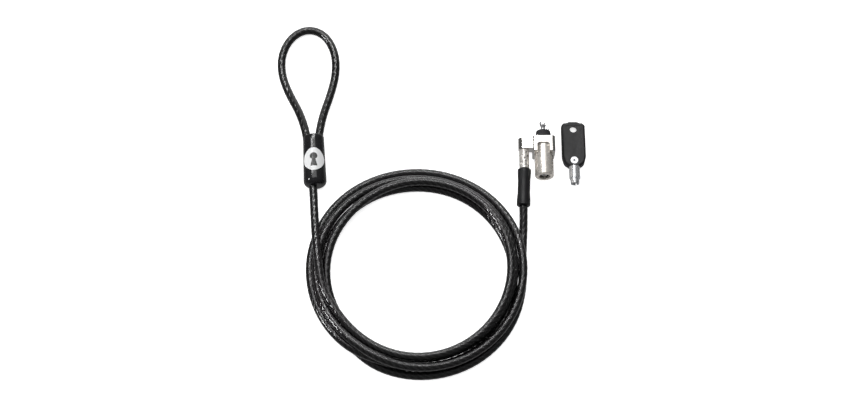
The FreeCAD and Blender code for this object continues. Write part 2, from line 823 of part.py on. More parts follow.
def tube_along(name, points, diameter):
    """A solid round bar along a route, checked against its section times its length."""
    edges, radii = route_edges(points)
    path = Part.Wire(edges)
    section = Part.Wire(Part.makeCircle(diameter / 2, points[0], points[1] - points[0]))
    shape = path.makePipeShell([section], True, False)
    expected = math.pi * (diameter / 2) ** 2 * path.Length
    print(f"{name}: length {path.Length:.1f}, volume {shape.Volume:.1f} of {expected:.1f}, radii",
          " ".join(f"{radius:.0f}" for radius in radii))
    if abs(shape.Volume / expected - 1) > 0.01:
        raise RuntimeError(f"{name} has the wrong volume")
    item = doc.addObject("Part::Feature", f"{name}_tube")
    item.Shape = shape
    return item


def make_cables():
    """The lead from the strain relief into the coil, and the tail that ends in the loop."""
    relief_end = nodes["cable_end"].Placement.multVec(V(0, sheet.relief_length, 0))
    lead = [relief_end] + [V(*point) for point in LEAD_ROUTE]
    print(f"relief end: {relief_end.x:.3f} {relief_end.y:.3f} {relief_end.z:.3f}")
    keep(tube_along("lead", lead, sheet.cable_dia), "cable_lead")
    loop = [V(*point) for point in LOOP_ROUTE]
    keep(tube_along("loop", loop, sheet.cable_dia), "cable_loop")


def make_coil():
    """The outer shape of the coiled cable, a flat ring that lies on the table."""
    ring = new_body("coil")
    sketch = new_sketch(ring, "XZ_Plane")
    draw_outline(sketch, [
        ("Size.coil_inner_radius", "0"),
        ("Size.coil_outer_radius", "0"),
        ("Size.coil_outer_radius", "Size.coil_height"),
        ("Size.coil_inner_radius", "Size.coil_height"),
    ])
    turn = ring.newObject("PartDesign::Revolution", "coil_turn")
    turn.Profile = sketch
    turn.ReferenceAxis = (sketch, ["V_Axis"])
    turn.Angle = 360
    doc.recompute()
    soften(ring, "Fillet", "Radius", "Size.coil_edge_radius",
           lambda edge: edge.BoundBox.ZLength < 0.01)
    place(keep(ring, "cable_coil"), "Size.coil_centre_x", "Size.coil_centre_y")


# ---------------------------------------------------------------- loop sleeve

def place_in_sleeve(item):
    """The sleeve lies on the table, and its middle is at the sleeve's place."""
    return place(item, "Size.sleeve_x", "Size.sleeve_y", "Size.sleeve_wide_dia / 2", ALONG_Z,
                 "Size.sleeve_yaw")


def make_loop_sleeve():
    """The moulded sleeve, the crimp pressed on the cable inside it, and the disc let into its top."""
    half = "Size.sleeve_length / 2"
    wide = "Size.sleeve_wide_dia / 2"
    narrow = "Size.sleeve_narrow_dia / 2"
    dome = "Size.sleeve_dome"
    shell = turned("sleeve_shell", [
        ("0", f"-{half}"),
        (f"{wide} - {dome}", f"-{half}"),
        (f"{wide} - {dome} * 0.3", f"-{half} + {dome} * 0.4"),
        (wide, f"-{half} + {dome} * 1.4"),
        (narrow, f"{half} - Size.sleeve_edge_radius"),
        (f"{narrow} - Size.sleeve_edge_radius", half),
        ("0", half),
    ])
    bore = cylinder("sleeve_bore", "Size.sleeve_bore", "Size.sleeve_bore_length",
                    y=f"{half} - Size.sleeve_end_wall - Size.sleeve_bore_length")
    hollow = place_in_sleeve(cut("sleeve_hollow", shell, [bore]))
    channel = tube_along("channel", [V(*point) for point in LOOP_ROUTE], sheet.cable_hole_dia)

    outer, inner = (turned(name, [
        ("0", f"-{half}"),
        (f"{wide} + {offset}", f"-{half}"),
        (f"{narrow} + {offset}", half),
        ("0", half),
    ]) for name, offset in (("badge_outer", "Size.badge_proud"), ("badge_inner", "-Size.badge_inset")))
    outline = doc.addObject("Part::Ellipse", "badge_outline")
    bind(outline, MajorRadius="Size.badge_length / 2", MinorRadius="Size.badge_width / 2")
    place(outline, y="Size.badge_shift", angle="90")
    prism = doc.addObject("Part::Extrusion", "badge_prism")
    prism.Base = outline
    prism.DirMode = "Custom"
    prism.Dir = ALONG_Z
    prism.Solid = True
    bind(prism, LengthFwd="Size.sleeve_wide_dia")
    badge = cut("badge", common("badge_cap", outer, prism), [inner])
    place_in_sleeve(keep(badge, "loop_badge"))
    keep(cut("sleeve", hollow, [channel, badge]), "loop_sleeve")

    crimp_stop = f"{half} - Size.sleeve_end_wall - Size.axial_play"
    crimp = turned("crimp", [
        ("0", f"{crimp_stop} - Size.crimp_length"),
        ("Size.crimp_dia / 2", f"{crimp_stop} - Size.crimp_length"),
        ("Size.crimp_dia / 2", crimp_stop),
        ("0", crimp_stop),
    ])
    place_in_sleeve(keep(crimp, "loop_crimp"))


# ---------------------------------------------------------------- key

def make_key_shank():
    tube = turned("shank_tube", [
        ("Size.shank_bore / 2", "0"),
        ("Size.shank_tip_dia / 2", "0"),
        ("Size.shank_tip_dia / 2", "Size.shank_tip_length"),
        ("Size.shank_dia / 2", "Size.shank_tip_length"),
        ("Size.shank_dia / 2", "Size.bow_start"),
        ("Size.stem_dia / 2", "Size.bow_start"),
        ("Size.stem_dia / 2", "Size.stem_stop"),
        ("0", "Size.stem_stop"),
        ("0", "Size.shank_bore_depth"),
        ("Size.shank_bore / 2", "Size.shank_bore_depth"),
    ])
    nib = box("nib", "Size.nib_reach", "Size.nib_length", "Size.nib_width",
              x="Size.nib_reach / 2", y="Size.nib_start")
    bore = cylinder("shank_bore_again", "Size.shank_bore", "Size.shank_bore_depth + 1", y="-1")
    cross_hole = cylinder("stem_hole", "Size.rivet_dia", "Size.stem_dia + 2", y="Size.rivet_place",
                          z="-Size.stem_dia / 2 - 1", angle="0")
    slots = []
    for number, turn in enumerate(("35", "155", "275"), start=1):
        slot = box(f"bit_{number}", "Size.bit_width", "Size.bit_length", "Size.shank_tip_dia",
                   z="Size.shank_tip_dia / 2")
        slots.append(place(gathered(f"bit_turned_{number}", [slot]), axis=ALONG_Y, angle=turn))
    shank = cut("shank", joined("shank_and_nib", [tube, nib]), [bore, cross_hole] + slots)
    place(keep(shank, "key_shank"), "Size.key_x", "-Size.key_length / 2", "Size.shank_height")


def make_key_bow():
    """The moulded bow: a bevelled plate with a crowned top, a sunk panel, and a neck over the stem."""
    bow = new_body("bow")
    sketch = new_sketch(bow, "XY_Plane")
    half = "Size.bow_width / 2"
    neck = "Size.bow_neck_width / 2"
    hip = "Size.bow_hip_width / 2"
    hip_stop = "Size.bow_start + Size.bow_hip_length"
    top = "Size.key_length"
    crown = "Size.bow_crown_width / 2"
    taper_stop = "Size.bow_start + Size.bow_taper_length"
    shoulder = f"{top} - Size.bow_crown"
    right = [
        (neck, "Size.bow_start"),
        (hip, hip_stop),
        (half, taper_stop),
        (half, f"{top} - Size.bow_shoulder"),
        (f"{half} - Size.bow_shoulder * 0.55", shoulder),
        (crown, shoulder),
        (f"{crown} * 0.55", top),
    ]
    left = [(f"-({x})", y) for x, y in reversed(right)]
    draw_outline(sketch, right + left)
    pad(bow, sketch, "Size.bow_thickness", midplane=True)
    above_neck = sheet.bow_start + 0.1
    below_sides = sheet.bow_start + sheet.bow_taper_length + 0.1
    soften(bow, "Fillet", "Radius", "Size.bow_corner_radius",
           lambda edge: parallel(edge, ALONG_Z) and above_neck < edge.BoundBox.YMax < below_sides)
    soften(bow, "Fillet", "Radius", "Size.bow_shoulder_radius",
           lambda edge: parallel(edge, ALONG_Z) and edge.BoundBox.YMax > sheet.key_length - 4)
    face_height = sheet.bow_thickness / 2
    soften(bow, "Chamfer", "Size", "Size.bow_bevel",
           lambda edge: edge.BoundBox.ZLength < 0.001 and abs(edge.BoundBox.ZMax) > face_height - 0.01
           and edge.BoundBox.YMax > sheet.bow_start + 0.1)

    stem = cylinder("stem_room", "Size.stem_dia", "Size.stem_stop - Size.bow_start + 1",
                    y="Size.bow_start - 1", z="Size.shank_height - Size.bow_thickness / 2")
    tools = [sunk_panels(), stem]
    tools.append(through_bow("ring_hole", "Size.ring_hole_dia", "Size.ring_hole_place"))
    tools.append(cylinder("ring_room", "Size.ring_room_dia", "Size.underside_depth + 1",
                          y="Size.ring_hole_place + Size.ring_room_shift",
                          z="-Size.bow_thickness / 2 - 1", angle="0"))
    tools.append(through_bow("rivet_hole", "Size.rivet_dia", "Size.rivet_place"))
    for name, level in (("head_room_top", "Size.bow_thickness / 2 - Size.rivet_head_thickness"),
                        ("head_room_bottom", "-Size.bow_thickness / 2 - 1")):
        depth = "Size.rivet_head_thickness + 1"
        tools.append(cylinder(name, "Size.rivet_head_dia", depth, y="Size.rivet_place", z=level,
                              angle="0"))
    place_in_key(keep(cut("bow_body", bow, tools), "key_bow"))


def sunk_panels():
    """The room of the shallow panel in the bow's top, and of the deeper one that cores its underside."""
    block = new_body("panel_block")
    sketch = new_sketch(block, "XY_Plane")
    half = "Size.panel_width / 2"
    draw_outline(sketch, [(f"-{half}", "Size.panel_start"), (half, "Size.panel_start"),
                          (half, "Size.panel_stop"), (f"-{half}", "Size.panel_stop")])
    pad(block, sketch, "Size.bow_thickness + 1", midplane=True)
    near_end = sheet.panel_start + 0.1
    soften(block, "Fillet", "Radius", "Size.panel_radius",
           lambda edge: parallel(edge, ALONG_Z) and edge.BoundBox.YMax < near_end)
    core = box("panel_core", "Size.bow_width", "Size.key_length",
               "Size.bow_thickness - Size.panel_depth - Size.underside_depth",
               z="(Size.underside_depth - Size.panel_depth) / 2")
    return cut("panels", block, [core])


def through_bow(name, diameter, place_along):
    """An upright bar through the bow's whole thickness."""
    return cylinder(name, diameter, "Size.bow_thickness + 2", y=place_along,
                    z="-Size.bow_thickness / 2 - 1", angle="0")


def make_key_rivet():
    half = "Size.bow_thickness / 2"
    inside = f"{half} - Size.rivet_head_thickness"
    profile = [
        ("Size.rivet_bore / 2", f"-({half})"),
        ("Size.rivet_head_dia / 2", f"-({half})"),
        ("Size.rivet_head_dia / 2", f"-({inside})"),
        ("Size.rivet_dia / 2", f"-({inside})"),
        ("Size.rivet_dia / 2", inside),
        ("Size.rivet_head_dia / 2", inside),
        ("Size.rivet_head_dia / 2", half),
        ("Size.rivet_bore / 2", half),
    ]
    rivet = turned("rivet", profile)
    place(rivet, y="Size.rivet_place", axis=ALONG_X, angle="90")
    place_in_key(keep(gathered("rivet_part", [rivet]), "key_rivet"))


# ---------------------------------------------------------------- build, check, write

def check_document():
    """Stops the build if an object failed or a sub-part isn't a sound solid."""
    for item in doc.Objects:
        if "Invalid" in item.State or "Error" in item.State:
            raise RuntimeError(f"{item.Name} failed: {item.State}")
    for label, item in nodes.items():
        if item.Shape.isNull() or not item.Shape.isValid() or not item.Shape.Solids:
            raise RuntimeError(f"{label} isn't a sound solid")


def write_parts():
    os.makedirs("parts", exist_ok=True)
    for label, item in nodes.items():
        item.Shape.exportStep(os.path.join("parts", f"{label}.step"))
        box_of = item.Shape.BoundBox
        print(f"{label}: {len(item.Shape.Solids)} solid(s), {item.Shape.Volume:.2f} mm3, z from "
              f"{box_of.ZMin:.2f} to {box_of.ZMax:.2f}")


def main():
    make_barrel()
    make_plug()
    make_key_pins()
    make_pin_housing()
    make_driver_pins()
    make_pin_springs()
    make_dowels()
    make_spindle()
    make_thrust_washer()
    make_nose_block()
    make_tbar()
    make_rubber_pad()
    make_snap_ring()
    make_collar()
    make_arm_cap()
    make_stud()
    make_ferrule()
    make_strain_relief()
    doc.recompute()
    make_cables()
    make_coil()
    make_loop_sleeve()
    make_key_shank()
    make_key_bow()
    make_key_rivet()
    doc.recompute()
    check_document()
    write_parts()


main()
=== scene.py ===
"""Looks for the laptop cable lock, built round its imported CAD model. Lengths are in metres."""

import math

import bmesh
import bpy
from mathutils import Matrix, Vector


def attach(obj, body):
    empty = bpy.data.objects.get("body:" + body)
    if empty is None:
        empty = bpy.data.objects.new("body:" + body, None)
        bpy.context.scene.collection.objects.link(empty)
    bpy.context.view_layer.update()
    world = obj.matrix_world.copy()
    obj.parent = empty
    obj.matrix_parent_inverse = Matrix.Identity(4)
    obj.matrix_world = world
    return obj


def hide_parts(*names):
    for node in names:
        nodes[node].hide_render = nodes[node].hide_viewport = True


MM = 0.001

# ---------------------------------------------------------------- named sizes

CABLE_DIA = 4.4 * MM
CABLE_RADIUS = CABLE_DIA / 2
STRANDS = 6              # strands of the steel rope under the vinyl
STRAND_LAY = 22 * MM     # length along the cable in which a strand goes once round
STRAND_SWELL = 0.1 * MM  # how far the vinyl swells over a strand
WIRES = 20               # rows of wires seen round the cable
WIRE_PITCH = STRAND_LAY / 8

# The cord's route, the same as in the CAD source: from the strain relief down into the coil, and from the
# coil up through the sleeve, round the end loop and back into the sleeve. The lists are in millimetres.
RELIEF_END = (-16.392 * MM, -31.381 * MM, 4.47 * MM)
LEAD_ROUTE = [
    (-16.43, -38.9, 3.5),
    (-16.75, -46.9, 2.45),
    (-17.3, -56, 2.25),
    (-17.7, -65, 2.25),
]
LOOP_ROUTE = [
    (-120.9, -79, 9.9),
    (-122.7, -69.5, 9.9),
    (-124.1, -59, 9.3),
    (-125.3, -47.5, 7.8),
    (-126.3, -35.5, 6.8),
    (-127.1, -24, 6.2),
    (-128.4, -12, 6.1),
    (-130.6, -1, 6.1),
    (-132, 11, 5.8),
    (-136.3, 24, 4),
    (-142.6, 36, 2.5),
    (-147, 48, 2.25),
    (-147.3, 60.5, 2.25),
    (-142, 71.5, 2.25),
    (-132.9, 76.2, 2.25),
    (-123.6, 72.3, 2.25),
    (-117.9, 61.5, 2.25),
    (-117, 48.5, 2.25),
    (-119.6, 35.5, 2.6),
    (-123.4, 22, 4.2),
    (-125.2, 9.5, 5.8),
    (-125.6, -2, 6.1),
    (-125.4, -11, 6.1),
]

# The coil's turns, in millimetres and in degrees clockwise from the coil's right side.
COIL_CENTRE = (-72.2, -68.0)
COIL_FIRST_ANGLE = 8
COIL_LAST_ANGLE = 1598
COIL_STEPS = 24          # control points per turn
COIL_FLOOR = 2.25        # height of the centreline of a strand that lies on the table
COIL_TAIL = (49.9, 9.9)  # radius and height at which the tail takes over
START_RISE = 6.8         # how far the first guess rises from the first strand to the last
APART = CABLE_DIA / MM * 1.02   # the least distance between the centres of two strands
LEAST_LIFT = 0.2         # a later strand goes at least this share of a push upwards
STIFFNESS = (0.3, 0.35)  # how strongly a strand straightens, sideways and upwards, in each round
PULL = 0.12              # how strongly it goes back to its liked radius
SINK = 0.03              # how far it sinks
PUSHES = 3               # how often the strands push each other aside in each round
ROUNDS = 500             # how many rounds the coil settles for
# The radius each turn tends to, at every eighth of a turn. The last turn ends where the tail leaves it.
COIL_TURNS = [
    (54.6, 57.0, 56.6, 52.4, 50.6, 49.5, 48.0, 49.5),
    (50.1, 52.5, 52.0, 53.6, 55.4, 58.0, 57.0, 56.6),
    (54.8, 54.5, 54.2, 51.2, 52.4, 54.2, 52.5, 52.5),
    (50.5, 49.0, 47.6, 47.0, 47.9, 47.5, 50.4, 50.4),
    (48.9, 48.4, 48.2, 46.8, 49.9),
]
EIGHTH = 45              # degrees
COIL_LEAST, COIL_MOST = 47.0, 58.2   # the least and the greatest radius of a turn
# Where the lead lies beside the turns and the tail over them: angle, radius and height.
LEAD_BESIDE = [(353, 55.1, 2.25), (338, 59.9, 2.6)]
TAIL_ABOVE = [(188, 52.4, 9.4), (203, 57.5, 7.6)]


# ---------------------------------------------------------------- the coil's turns

def liked_radius(angle):
    """The radius that the coil tends to at an angle, eased between the eighths of its turns."""
    eighths = [radius for turn in COIL_TURNS for radius in turn]
    place = angle / EIGHTH
    index = min(int(place), len(eighths) - 2)
    share = min(1, place - index)
    ease = share * share * (3 - 2 * share)
    return eighths[index] + (eighths[index + 1] - eighths[index]) * ease


def spread(lower, upper):
    """How far out and up the upper of two (radius, height) pairs has to go to clear the lower one."""
    out, up = upper[0] - lower[0], upper[1] - lower[1]
    gap = math.hypot(out, up)
    if gap >= APART:
        return 0, 0
    up = max(up, LEAST_LIFT * gap)
    size = math.hypot(out, up)
    return (APART - gap) * out / size, (APART - gap) * up / size


def push(pair, move, share):
    """Moves a (radius, height) pair by a share of a move."""
    pair[0] += move[0] * share
    pair[1] += move[1] * share


def relax(coil, angles):
    """Lets each strand straighten a little, go back towards the radius it likes, and sink."""
    straighten, level_out = STIFFNESS
    near = [(COIL_TURNS[0][0], COIL_FLOOR)] + [tuple(pair) for pair in coil] + [COIL_TAIL]
    for pair, angle, back, ahead in zip(coil, angles, near, near[2:]):
        liked = liked_radius(angle)
        pair[0] += straighten * ((back[0] + ahead[0]) / 2 - pair[0]) + PULL * (liked - pair[0])
        pair[1] += level_out * ((back[1] + ahead[1]) / 2 - pair[1]) - SINK


def push_apart(coil, angles):
    """Pushes strands that are too close away from each other, from the lead and from the tail."""
    for low, under in enumerate(coil):
        for over in coil[low + COIL_STEPS::COIL_STEPS]:
            move = spread(under, over)
            push(under, move, -0.5)
            push(over, move, 0.5)
    for pair, angle in zip(coil, angles):
        for beside, radius, height in LEAD_BESIDE:
            if angle % 360 == beside:
                push(pair, spread((radius, height), pair), 1)
        for above, radius, height in TAIL_ABOVE:
            if angle % 360 == above:
                push(pair, spread(pair, (radius, height)), -1)
        pair[0] = min(max(pair[0], COIL_LEAST), COIL_MOST)
        pair[1] = max(pair[1], COIL_FLOOR)


def settle_coil():
    """Lets the turns sink and push each other aside, and returns their control points."""
    step = 360 / COIL_STEPS
    count = round((COIL_LAST_ANGLE - COIL_FIRST_ANGLE) / step) + 1
    angles = [COIL_FIRST_ANGLE + step * index for index in range(count)]
    coil = [[liked_radius(angle), COIL_FLOOR + START_RISE * index / (count - 1)]
            for index, angle in enumerate(angles)]
    for _ in range(ROUNDS):
        relax(coil, angles)
        for _ in range(PUSHES):
            push_apart(coil, angles)
    points = []
    for angle, (radius, level) in zip(angles, coil):
        turn = math.radians(angle)
        points.append((COIL_CENTRE[0] + radius * math.cos(turn),
                       COIL_CENTRE[1] - radius * math.sin(turn), level))
    return points


# ---------------------------------------------------------------- mesh helpers

def add_mesh(name, verts, faces):
    """A smooth-shaded mesh object in the scene."""
    mesh = bpy.data.meshes.new(name)
    mesh.from_pydata(verts, [], faces)
    mesh.validate()
    for polygon in mesh.polygons:
        polygon.use_smooth = True
    item = bpy.data.objects.new(name, mesh)
    bpy.context.scene.collection.objects.link(item)
    return item


def spline_line(name, points):
    """The points of a smooth NURBS line through a route, read from a curve with no bevel."""
    curve = bpy.data.curves.new(name, "CURVE")
    curve.dimensions = "3D"
    curve.resolution_u = 16
    spline = curve.splines.new("NURBS")
    spline.points.add(len(points) - 1)
    for control, point in zip(spline.points, points):
        control.co = (*point, 1)
    spline.order_u = 3
    spline.use_endpoint_u = True
    item = bpy.data.objects.new(name, curve)
    bpy.context.scene.collection.objects.link(item)
    bpy.context.view_layer.update()
    mesh = bpy.data.meshes.new_from_object(item)
    line = [vertex.co.copy() for vertex in mesh.vertices]
    bpy.data.objects.remove(item)
    bpy.data.meshes.remove(mesh)
    return line


def rings_along(line):
    """For each point of a line: the point, two directions across it, and the length so far."""
    across = Vector((0, 0, 1))
    length = 0
    rings = []
    for index, point in enumerate(line):
        before = line[max(index - 1, 0)]
        after = line[min(index + 1, len(line) - 1)]
        ahead = (after - before).normalized()
        across = (across - ahead * across.dot(ahead)).normalized()
        if index:
            length += (point - before).length
        rings.append((point, across.copy(), ahead.cross(across), length))
    return rings


def tube_sides(rings, sides):
    """The faces between the rings of a tube."""
    faces = []
    for ring in range(rings - 1):
        for number in range(sides):
            following = (number + 1) % sides
            faces.append((ring * sides + number, ring * sides + following,
                          (ring + 1) * sides + following, (ring + 1) * sides + number))
    return faces


def rope_tube(name, line, radius, sides=36):
    """A vinyl-covered wire rope: a tube whose skin swells over each twisted strand."""
    verts = []
    marks = []
    rings = rings_along(line)
    for point, across, side, length in rings:
        twist = 2 * math.pi * length / STRAND_LAY
        for number in range(sides):
            turn = 2 * math.pi * number / sides
            swell = abs(math.cos(STRANDS * (turn - twist) / 2))
            reach = radius - STRAND_SWELL * (1 - swell)
            verts.append(point + across * (reach * math.cos(turn)) + side * (reach * math.sin(turn)))
            marks.append((number / sides, length))
    faces = tube_sides(len(rings), sides)
    faces.append(tuple(reversed(range(sides))))
    last = (len(rings) - 1) * sides
    faces.append(tuple(range(last, last + sides)))
    item = add_mesh(name, verts, faces)
    # a UV layer that says how far round and how far along the cable each corner is
    layer = item.data.uv_layers.new(name="along")
    for polygon in item.data.polygons:
        # the last face round the cable ends at 1, not back at 0
        wraps = any(item.data.loops[k].vertex_index % sides == sides - 1 for k in polygon.loop_indices)
        for k in polygon.loop_indices:
            around, length = marks[item.data.loops[k].vertex_index]
            if wraps and around == 0:
                around = 1
            layer.data[k].uv = (around, length)
    return item


def lathe(name, profile, place, sides=64):
    """A closed body of revolution from (radius, distance) pairs round the y axis of place(x, y, z)."""
    verts = []
    for radius, along in profile:
        for number in range(sides):
            turn = 2 * math.pi * number / sides
            verts.append(place(radius * math.cos(turn), along, radius * math.sin(turn)))
    faces = tube_sides(len(profile), sides)
    faces.append(tuple(range(sides)))
    last = (len(profile) - 1) * sides
    faces.append(tuple(reversed(range(last, last + sides))))
    item = add_mesh(name, verts, faces)
    mesh = bmesh.new()
    mesh.from_mesh(item.data)
    bmesh.ops.recalc_face_normals(mesh, faces=mesh.faces)
    mesh.to_mesh(item.data)
    mesh.free()
    return item


# ---------------------------------------------------------------- material helpers

class Finish:
    """A procedural material with its Principled shader and helpers that add detail to it."""

    def __init__(self, name, colour, roughness, metallic=0.0, coat=0.0, coat_roughness=0.1, ior=1.5):
        self.material = bpy.data.materials.new(name)
        self.material.use_nodes = True
        self.tree = self.material.node_tree
        self.shader = self.tree.nodes["Principled BSDF"]
        self.shader.inputs["Base Color"].default_value = (*colour, 1)
        self.shader.inputs["Roughness"].default_value = roughness
        self.shader.inputs["Metallic"].default_value = metallic
        self.shader.inputs["Coat Weight"].default_value = coat
        self.shader.inputs["Coat Roughness"].default_value = coat_roughness
        self.shader.inputs["IOR"].default_value = ior
        self.height = None

    def node(self, kind, **settings):
        item = self.tree.nodes.new(kind)
        for key, value in settings.items():
            setattr(item, key, value)
        return item

    def wire(self, source, target):
        self.tree.links.new(source, target)

    def noise(self, grain, detail=4):
        """Noise whose blotches are about grain metres across."""
        where = self.node("ShaderNodeTexCoord")
        item = self.node("ShaderNodeTexNoise")
        item.inputs["Scale"].default_value = 1 / grain
        item.inputs["Detail"].default_value = detail
        item.inputs["Roughness"].default_value = 0.55
        self.wire(where.outputs["Object"], item.inputs["Vector"])
        return item.outputs["Fac"]

    def ramp(self, value, low, high, start=0.35, stop=0.65):
        """Maps a value from start and stop to two greys or two colours."""
        item = self.node("ShaderNodeValToRGB")
        for element, place, colour in zip(item.color_ramp.elements, (start, stop), (low, high)):
            element.position = place
            colour = (colour,) * 3 if isinstance(colour, (int, float)) else colour
            element.color = (*colour, 1)
        self.wire(value, item.inputs["Fac"])
        return item.outputs["Color"]

    def vary_roughness(self, value, low, high):
        self.wire(self.ramp(value, low, high), self.shader.inputs["Roughness"])

    def vary_colour(self, value, low, high, start=0.35, stop=0.65):
        self.wire(self.ramp(value, low, high, start, stop), self.shader.inputs["Base Color"])

    def bump(self, value, depth):
        """Adds a bump that is depth metres deep on top of the ones before it."""
        item = self.node("ShaderNodeBump")
        item.inputs["Distance"].default_value = depth
        item.inputs["Strength"].default_value = 1.0
        self.wire(value, item.inputs["Height"])
        if self.height is not None:
            self.wire(self.height.outputs["Normal"], item.inputs["Normal"])
        self.wire(item.outputs["Normal"], self.shader.inputs["Normal"])
        self.height = item

    def put_on(self, item):
        item.data.materials.clear()
        item.data.materials.append(self.material)


def plain_metal(name, colour, roughness, depth=0.004 * MM, metallic=1.0):
    """Plated or turned metal with faint handling marks and patches of duller plating."""
    finish = Finish(name, colour, roughness, metallic=metallic)
    patches = finish.noise(3 * MM, detail=5)
    finish.vary_roughness(patches, roughness * 0.85, roughness * 1.2)
    darker = tuple(part * 0.93 for part in colour)
    finish.vary_colour(finish.noise(5 * MM, detail=3), darker, colour, 0.3, 0.6)
    finish.bump(finish.noise(0.4 * MM, detail=3), depth)
    return finish


def dimpled_metal(name, colour, roughness):
    """Plated metal with irregular dents, and painted shade that darkens their bottoms."""
    finish = Finish(name, colour, roughness, metallic=0.7)
    marks = finish.noise(1.5 * MM, detail=1)
    # painted shade: the bottoms of the dents are darkened almost to black
    finish.vary_colour(marks, colour, tuple(part * 0.12 for part in colour), 0.56, 0.66)
    finish.bump(marks, -0.25 * MM)
    finish.vary_roughness(finish.noise(2 * MM), roughness * 0.8, roughness * 1.3)
    return finish


def cable_vinyl():
    """Smoked glossy vinyl: the strands' twist shows as lighter and darker bands, the wires as dashes."""
    finish = Finish("cable_vinyl", (0.006, 0.006, 0.0065), 0.2, coat=1.0, coat_roughness=0.05, ior=1.45)
    marks = finish.node("ShaderNodeUVMap", uv_map="along")
    parts = finish.node("ShaderNodeSeparateXYZ")
    finish.wire(marks.outputs["UV"], parts.inputs["Vector"])

    def wave(turns_around, pitch_along, power):
        """Ridges: turns_around of them round the cable, and one every pitch_along metres along it."""
        first = finish.node("ShaderNodeMath", operation="MULTIPLY")
        first.inputs[1].default_value = turns_around * 2 * math.pi
        finish.wire(parts.outputs["X"], first.inputs[0])
        second = finish.node("ShaderNodeMath", operation="MULTIPLY")
        second.inputs[1].default_value = 2 * math.pi / pitch_along
        finish.wire(parts.outputs["Y"], second.inputs[0])
        both = finish.node("ShaderNodeMath", operation="ADD")
        finish.wire(first.outputs[0], both.inputs[0])
        finish.wire(second.outputs[0], both.inputs[1])
        sine = finish.node("ShaderNodeMath", operation="SINE")
        finish.wire(both.outputs[0], sine.inputs[0])
        shifted = finish.node("ShaderNodeMath", operation="MULTIPLY_ADD")
        shifted.inputs[1].default_value = 0.5
        shifted.inputs[2].default_value = 0.5
        finish.wire(sine.outputs[0], shifted.inputs[0])
        shaped = finish.node("ShaderNodeMath", operation="POWER")
        shaped.inputs[1].default_value = power
        finish.wire(shifted.outputs[0], shaped.inputs[0])
        return shaped.outputs[0]

    strands = wave(STRANDS, -STRAND_LAY / STRANDS, 1.0)
    wires = wave(WIRES, -WIRE_PITCH, 2.0)
    finish.vary_colour(strands, (0.001, 0.001, 0.0011), (0.009, 0.009, 0.0095), 0.3, 0.95)
    finish.bump(strands, 0.06 * MM)
    finish.bump(wires, 0.045 * MM)
    finish.bump(finish.noise(1.2 * MM, detail=3), 0.006 * MM)
    finish.vary_roughness(finish.noise(6 * MM), 0.13, 0.2)
    return finish


def badge_enamel(centre, yaw):
    """A pale disc with a plain keyhole in black: a round eye over a flared skirt."""
    finish = Finish("badge_enamel", (0.78, 0.78, 0.78), 0.35, coat=0.4)
    where = finish.node("ShaderNodeTexCoord")
    mapping = finish.node("ShaderNodeMapping", vector_type="TEXTURE")
    mapping.inputs["Location"].default_value = centre
    mapping.inputs["Rotation"].default_value = (0, 0, yaw)
    finish.wire(where.outputs["Object"], mapping.inputs["Vector"])
    parts = finish.node("ShaderNodeSeparateXYZ")
    finish.wire(mapping.outputs["Vector"], parts.inputs["Vector"])

    def math_node(operation, first, second=None, third=None):
        item = finish.node("ShaderNodeMath", operation=operation)
        for socket, value in zip(item.inputs, (first, second, third)):
            if isinstance(value, (int, float)):
                socket.default_value = value
            elif value is not None:
                finish.wire(value, socket)
        return item.outputs[0]

    eye_place, eye_radius = 1.7 * MM, 2.0 * MM
    skirt_start, skirt_stop = -4.1 * MM, 1.4 * MM
    skirt_half_width, skirt_flare = 0.95 * MM, -0.22
    x = parts.outputs["X"]
    y = parts.outputs["Y"]
    eye_height = math_node("SUBTRACT", y, eye_place)
    eye_reach = math_node("SQRT", math_node("ADD", math_node("MULTIPLY", x, x),
                                            math_node("MULTIPLY", eye_height, eye_height)))
    eye = math_node("LESS_THAN", eye_reach, eye_radius)
    skirt_side = math_node("MULTIPLY_ADD", y, skirt_flare, skirt_half_width)
    inside = math_node("LESS_THAN", math_node("ABSOLUTE", x), skirt_side)
    above = math_node("GREATER_THAN", y, skirt_start)
    below = math_node("LESS_THAN", y, skirt_stop)
    skirt = math_node("MULTIPLY", inside, math_node("MULTIPLY", above, below))
    keyhole = math_node("MAXIMUM", eye, skirt)
    finish.vary_colour(keyhole, (0.74, 0.745, 0.75), (0.012, 0.012, 0.012), 0.45, 0.55)
    finish.bump(finish.noise(0.5 * MM), 0.004 * MM)
    finish.vary_roughness(finish.noise(2 * MM), 0.28, 0.42)
    return finish


def moulded(name, colour, roughness, grain, depth, coat=0.0):
    """Moulded plastic or rubber with a fine spark-eroded grain."""
    finish = Finish(name, colour, roughness, coat=coat)
    finish.bump(finish.noise(grain, detail=2), depth)
    finish.vary_roughness(finish.noise(grain * 8), roughness * 0.85, roughness * 1.2)
    darker = tuple(part * 0.75 for part in colour)
    finish.vary_colour(finish.noise(4 * MM), darker, colour)
    return finish


# ---------------------------------------------------------------- scene

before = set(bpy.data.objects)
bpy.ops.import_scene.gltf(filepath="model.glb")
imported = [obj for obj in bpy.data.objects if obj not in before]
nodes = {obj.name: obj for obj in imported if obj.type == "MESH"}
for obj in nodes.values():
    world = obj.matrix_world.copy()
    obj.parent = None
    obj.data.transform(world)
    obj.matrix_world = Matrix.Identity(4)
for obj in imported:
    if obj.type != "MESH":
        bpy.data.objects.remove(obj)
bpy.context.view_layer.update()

SLEEVE_CENTRE = (-127.15 * MM, -6.55 * MM, 6.1 * MM)
SLEEVE_YAW = math.radians(3.6)
BADGE_CENTRE = (-127.1 * MM, -7.35 * MM, 6.1 * MM)

